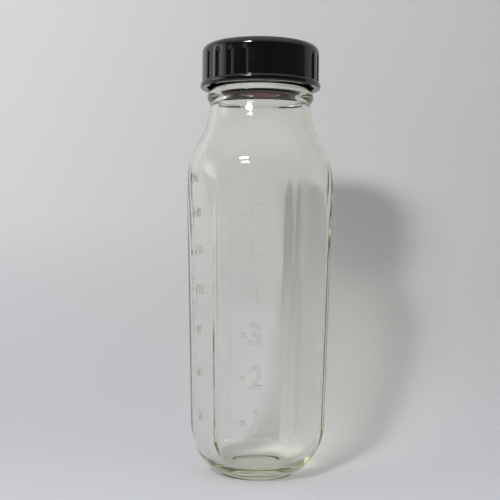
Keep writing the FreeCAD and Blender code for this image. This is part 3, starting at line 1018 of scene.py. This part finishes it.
class BOTTLE_OT_stage(Operator):
    """Set the paper, the lamps, the room and the camera"""
    bl_idname = "nursing_bottle.stage"
    bl_label = "Stage"

    def execute(self, context):
        settings = context.scene.bottle_stage
        paper = matt_paper(settings)
        self.sweep(settings, paper)
        self.floor(paper)
        self.room(context, settings)
        for name, lamp in KEY_LAMPS.items():
            self.key_lamp(context, settings, name, *lamp)
        self.camera(context, settings)
        context.scene.view_settings.view_transform = "Standard"
        # Enough bounces for light to pass along the walls of the glass
        context.scene.cycles.max_bounces = GLASS_BOUNCES
        context.scene.cycles.glossy_bounces = GLASS_BOUNCES
        context.scene.cycles.transmission_bounces = GLASS_BOUNCES
        return {"FINISHED"}

    def sweep(self, settings, paper):
        """Paper that comes along the floor and bends up into the wall."""
        wall = settings.wall_distance * MM_PER_METRE
        bend = settings.sweep * MM_PER_METRE
        line = rounded_path(((-PAPER_FRONT, 0, 0), (wall, 0, bend), (wall, PAPER_HEIGHT, 0)), SWEEP_STEP)
        reach = mm(PAPER_HALF_WIDTH)
        mesh = bpy.data.meshes.new("paper_sweep")
        sides = [(side * reach, mm(p.x), mm(p.y)) for p in line for side in (-1, 1)]
        faces = [(2 * i, 2 * i + 1, 2 * i + 3, 2 * i + 2) for i in range(len(line) - 1)]
        mesh.from_pydata(sides, [], faces)
        return self.place("paper_sweep", mesh, paper)

    def floor(self, paper):
        """Wide floor just under the sweep."""
        reach = mm(FLOOR_REACH)
        level = -mm(FLOOR_DROP)
        corners = [(x * reach, y * reach, level) for x, y in ((-1, -1), (1, -1), (1, 1), (-1, 1))]
        mesh = bpy.data.meshes.new("floor")
        mesh.from_pydata(corners, [], [(0, 1, 2, 3)])
        return self.place("floor", mesh, paper)

    def place(self, name, mesh, material):
        """Link a mesh of the stage as an object in its material."""
        mesh.materials.append(material)
        mesh.shade_smooth()
        piece = bpy.data.objects.new(name, mesh)
        bpy.context.scene.collection.objects.link(piece)
        return piece

    def room(self, context, settings):
        """Dim room in front of the paper, pale ceiling above.

        The limits are parts of a unit direction: X to the right, Y to the back and Z up.
        """
        world = bpy.data.worlds.new("studio_room")
        context.scene.world = world
        world.use_nodes = True
        tree = world.node_tree
        tree.nodes.clear()
        way = tree.nodes.new("ShaderNodeTexCoord").outputs["Generated"]
        part = add_node(tree, "ShaderNodeSeparateXYZ", {0: way})
        depth = add_node(tree, "ShaderNodeMapRange", {
            "Value": part.outputs["Y"], "From Min": -0.9, "From Max": 0.2})
        height = add_node(tree, "ShaderNodeMapRange", {
            "Value": part.outputs["Z"], "From Min": 0.25, "From Max": 0.9})
        wall = add_node(tree, "ShaderNodeMix", {
            0: depth.outputs["Result"], 6: settings.room, 7: settings.room_behind}, data_type="RGBA")
        shade = add_node(tree, "ShaderNodeMix", {
            0: height.outputs["Result"], 6: wall.outputs[2], 7: settings.ceiling}, data_type="RGBA")
        # Mirror reflections see a dim room with a bright window far on the left
        window = add_node(tree, "ShaderNodeMapRange", {
            "Value": part.outputs["X"], "From Min": -0.86, "From Max": -0.96, "To Max": WINDOW_GLOW})
        sill = add_node(tree, "ShaderNodeMapRange", {
            "Value": part.outputs["Z"], "From Min": 0.12, "From Max": 0.17})
        ceiling = add_node(tree, "ShaderNodeMapRange", {
            "Value": part.outputs["Z"], "From Min": 0.3, "From Max": 0.8, "To Min": DIM_ROOM,
            "To Max": CEILING_GLOW})
        path = tree.nodes.new("ShaderNodeLightPath")
        values = {
            "window": window.outputs["Result"], "sill": sill.outputs["Result"],
            "ceiling": ceiling.outputs["Result"], "bent": path.outputs["Is Transmission Ray"]}
        # What the glass bends into sight is lit better than what it mirrors
        follow_rule(tree, values, (
            ("pane", "MULTIPLY", "window", "sill"),
            ("seen", "MAXIMUM", "pane", "ceiling"),
            ("bent", "MULTIPLY", "bent", ROOM_THROUGH_GLASS),
            ("seen", "MAXIMUM", "seen", "bent"),
        ))
        strength = add_node(tree, "ShaderNodeMix", {
            0: path.outputs["Is Glossy Ray"], 2: 1.0, 3: values["seen"]})
        light = add_node(tree, "ShaderNodeBackground", {
            "Color": shade.outputs[2], "Strength": strength.outputs[0]})
        add_node(tree, "ShaderNodeOutputWorld", {"Surface": light.outputs[0]})

    def key_lamp(self, context, settings, name, width, height, aside, above):
        """Lamp at angles left of the camera and above it, that gives its share of the key light."""
        lamp = bpy.data.lights.new(name, "AREA")
        lamp.shape = "ELLIPSE"
        lamp.size = mm(width)
        lamp.size_y = mm(height)
        lamp.energy = settings.key_power / len(KEY_LAMPS)
        turn = settings.camera_azimuth - math.radians(aside)
        rise = math.radians(above)
        out = Vector((math.sin(turn) * math.cos(rise), -math.cos(turn) * math.cos(rise), math.sin(rise)))
        holder = bpy.data.objects.new(name, lamp)
        holder.location = Vector((0, 0, mm(LAMP_AIM))) + out * mm(LAMP_DISTANCE)
        holder.rotation_euler = out.to_track_quat("Z", "Y").to_euler()
        context.scene.collection.objects.link(holder)

    def camera(self, context, settings):
        """Camera at the photograph's angle: level, a touch to the right, with a slight roll."""
        lens = bpy.data.cameras.new("camera")
        lens.lens = LENS
        lens.sensor_width = SENSOR
        turn = settings.camera_azimuth
        out = Vector((math.sin(turn), -math.cos(turn), 0))
        yaw = math.atan(AXIS_PIXELS / (PHOTO_WIDTH * LENS / SENSOR))
        back = Matrix.Rotation(yaw, 3, "Z") @ out
        roll = settings.camera_roll
        right = Vector((0, 0, 1)).cross(back)
        up = Vector((0, 0, 1)) * math.cos(roll) - right * math.sin(roll)
        turned = Matrix((up.cross(back), up, back)).transposed()
        holder = bpy.data.objects.new("camera", lens)
        holder.rotation_euler = turned.to_euler()
        holder.location = out * settings.camera_distance + Vector((0, 0, settings.camera_height))
        context.scene.collection.objects.link(holder)
        context.scene.camera = holder


class BOTTLE_PT_sidebar(Panel):
    """Lists the bottle's pieces and their settings."""
    bl_idname = "BOTTLE_PT_sidebar"
    bl_label = "Nursing Bottle"
    bl_space_type = "VIEW_3D"
    bl_region_type = "UI"
    bl_category = "Bottle"

    def draw(self, context):
        for operator, group in PIECES:
            box = self.layout.box()
            box.operator(operator.bl_idname)
            settings = getattr(context.scene, group)
            for label in settings.__annotations__:
                box.prop(settings, label)


PIECES = (
    (BOTTLE_OT_glass, "bottle_glass"),
    (BOTTLE_OT_disc, "bottle_disc"),
    (BOTTLE_OT_ring, "bottle_ring"),
    (BOTTLE_OT_stage, "bottle_stage"),
)
GROUPS = {
    "bottle_glass": GlassSettings,
    "bottle_disc": DiscSettings,
    "bottle_ring": RingSettings,
    "bottle_stage": StageSettings,
}


def register():
    for group, settings in GROUPS.items():
        bpy.utils.register_class(settings)
        setattr(bpy.types.Scene, group, PointerProperty(type=settings))
    for operator, _ in PIECES:
        bpy.utils.register_class(operator)
    bpy.utils.register_class(BOTTLE_PT_sidebar)


def unregister():
    bpy.utils.unregister_class(BOTTLE_PT_sidebar)
    for operator, _ in PIECES:
        bpy.utils.unregister_class(operator)
    for group, settings in GROUPS.items():
        delattr(bpy.types.Scene, group)
        bpy.utils.unregister_class(settings)


def main():
    register()
    bpy.ops.nursing_bottle.stage()
    bpy.ops.nursing_bottle.glass()
    bpy.ops.nursing_bottle.disc()
    bpy.ops.nursing_bottle.ring()


if __name__ == "__main__":
    main()
